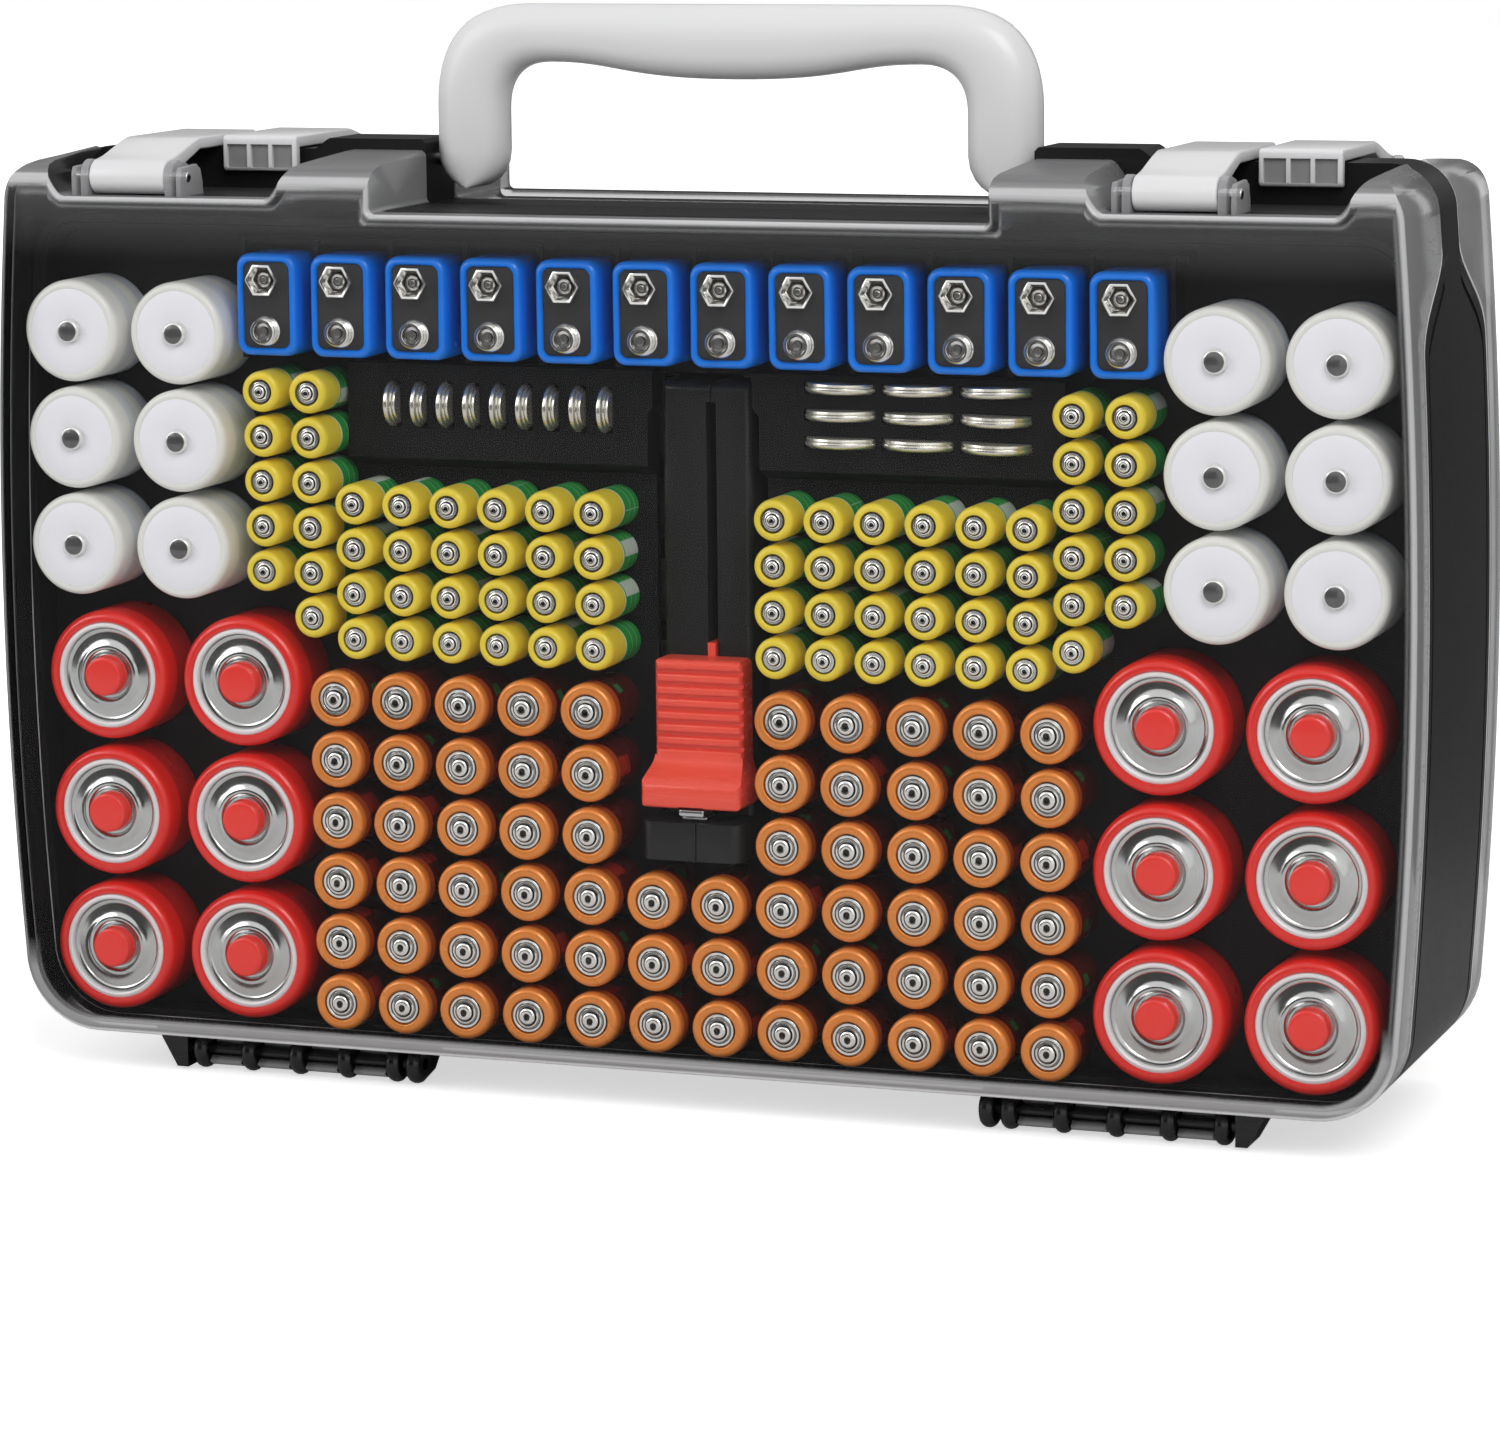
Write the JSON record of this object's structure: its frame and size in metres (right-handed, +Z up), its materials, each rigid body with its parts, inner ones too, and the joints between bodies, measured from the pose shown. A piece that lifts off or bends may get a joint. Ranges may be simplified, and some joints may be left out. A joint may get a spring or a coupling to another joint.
{
  "type": "battery organizer case",
  "caption": "Two-sided carrying case with clear hinged covers, latches, a folding handle, cell trays and a sliding battery tester.",
  "frame": {"origin": "centre of the case on the surface it stands on, at the bottom of its hinge feet", "axes": "+X along the width to the right as seen from the front, +Y to the back, +Z up"},
  "size_m": [0.367, 0.094, 0.2706],
  "materials": {
    "black_plastic": "fine moulded satin",
    "black_rod": "smooth",
    "smoke_clear_plastic": "clear smoke-tinted, glossy",
    "white_plastic": "satin gloss",
    "handle_grey_plastic": "satin gloss",
    "red_plastic": "satin",
    "large_cell_red": "glossy wrap",
    "cell_white": "satin wrap",
    "steel": "bright nickel plate"
  },
  "bodies": {
    "case": {"middle_frame": "black_plastic", "front_tray": "black_plastic", "back_tray": "black_plastic", "front_hinge_pin_left": "black_rod", "front_hinge_pin_right": "black_rod", "back_hinge_pin_left": "black_rod", "back_hinge_pin_right": "black_rod", "handle_pin_left": "steel", "handle_pin_right": "steel", "tester_shell_left": "black_plastic", "tester_shell_right": "black_plastic", "tester_base_contact": "steel", "d_cell_1": "large_cell_red", "d_cell_2": "large_cell_red", "d_cell_3": "large_cell_red", "d_cell_4": "large_cell_red", "d_cell_5": "large_cell_red", "d_cell_6": "large_cell_red", "d_cell_7": "large_cell_red", "d_cell_8": "large_cell_red", "d_cell_9": "large_cell_red", "d_cell_10": "large_cell_red", "d_cell_11": "large_cell_red", "d_cell_12": "large_cell_red", "c_cell_1": "cell_white", "c_cell_2": "cell_white", "c_cell_3": "cell_white", "c_cell_4": "cell_white", "c_cell_5": "cell_white", "c_cell_6": "cell_white", "c_cell_7": "cell_white", "c_cell_8": "cell_white", "c_cell_9": "cell_white", "c_cell_10": "cell_white", "c_cell_11": "cell_white", "c_cell_12": "cell_white"},
    "front_cover": {"front_cover": "smoke_clear_plastic", "front_latch_pin_left": "steel", "front_latch_pin_right": "steel"},
    "back_cover": {"back_cover": "smoke_clear_plastic", "back_latch_pin_left": "steel", "back_latch_pin_right": "steel"},
    "front_latch_left": {"front_latch_left": "white_plastic"},
    "front_latch_right": {"front_latch_right": "white_plastic"},
    "back_latch_left": {"back_latch_left": "white_plastic"},
    "back_latch_right": {"back_latch_right": "white_plastic"},
    "handle": {"handle": "handle_grey_plastic"},
    "tester_slider": {"tester_slider": "red_plastic", "tester_slider_contact": "steel"}
  },
  "joints": [
    {"name": "front_cover_hinge", "type": "hinge", "parent": "case", "child": "front_cover", "pos_m": [0, -0.034, 0.005], "axis": [1, 0, 0], "range_deg": [0, 88]},
    {"name": "back_cover_hinge", "type": "hinge", "parent": "case", "child": "back_cover", "pos_m": [0, 0.034, 0.005], "axis": [-1, 0, 0], "range_deg": [0, 88]},
    {"name": "front_latch_left_hinge", "type": "hinge", "parent": "front_cover", "child": "front_latch_left", "pos_m": [-0.1465, -0.039, 0.2288], "axis": [1, 0, 0], "range_deg": [0, 100]},
    {"name": "front_latch_right_hinge", "type": "hinge", "parent": "front_cover", "child": "front_latch_right", "pos_m": [0.124, -0.039, 0.2288], "axis": [1, 0, 0], "range_deg": [0, 100]},
    {"name": "back_latch_left_hinge", "type": "hinge", "parent": "back_cover", "child": "back_latch_left", "pos_m": [-0.124, 0.039, 0.2288], "axis": [-1, 0, 0], "range_deg": [0, 100]},
    {"name": "back_latch_right_hinge", "type": "hinge", "parent": "back_cover", "child": "back_latch_right", "pos_m": [0.1465, 0.039, 0.2288], "axis": [-1, 0, 0], "range_deg": [0, 100]},
    {"name": "handle_pivot", "type": "hinge", "parent": "case", "child": "handle", "pos_m": [0, 0, 0.232], "axis": [1, 0, 0], "range_deg": [-90, 90]},
    {"name": "tester_slide", "type": "slide", "parent": "case", "child": "tester_slider", "axis": [0, 0, 1], "range_m": [0, 0.055]}
  ]
}
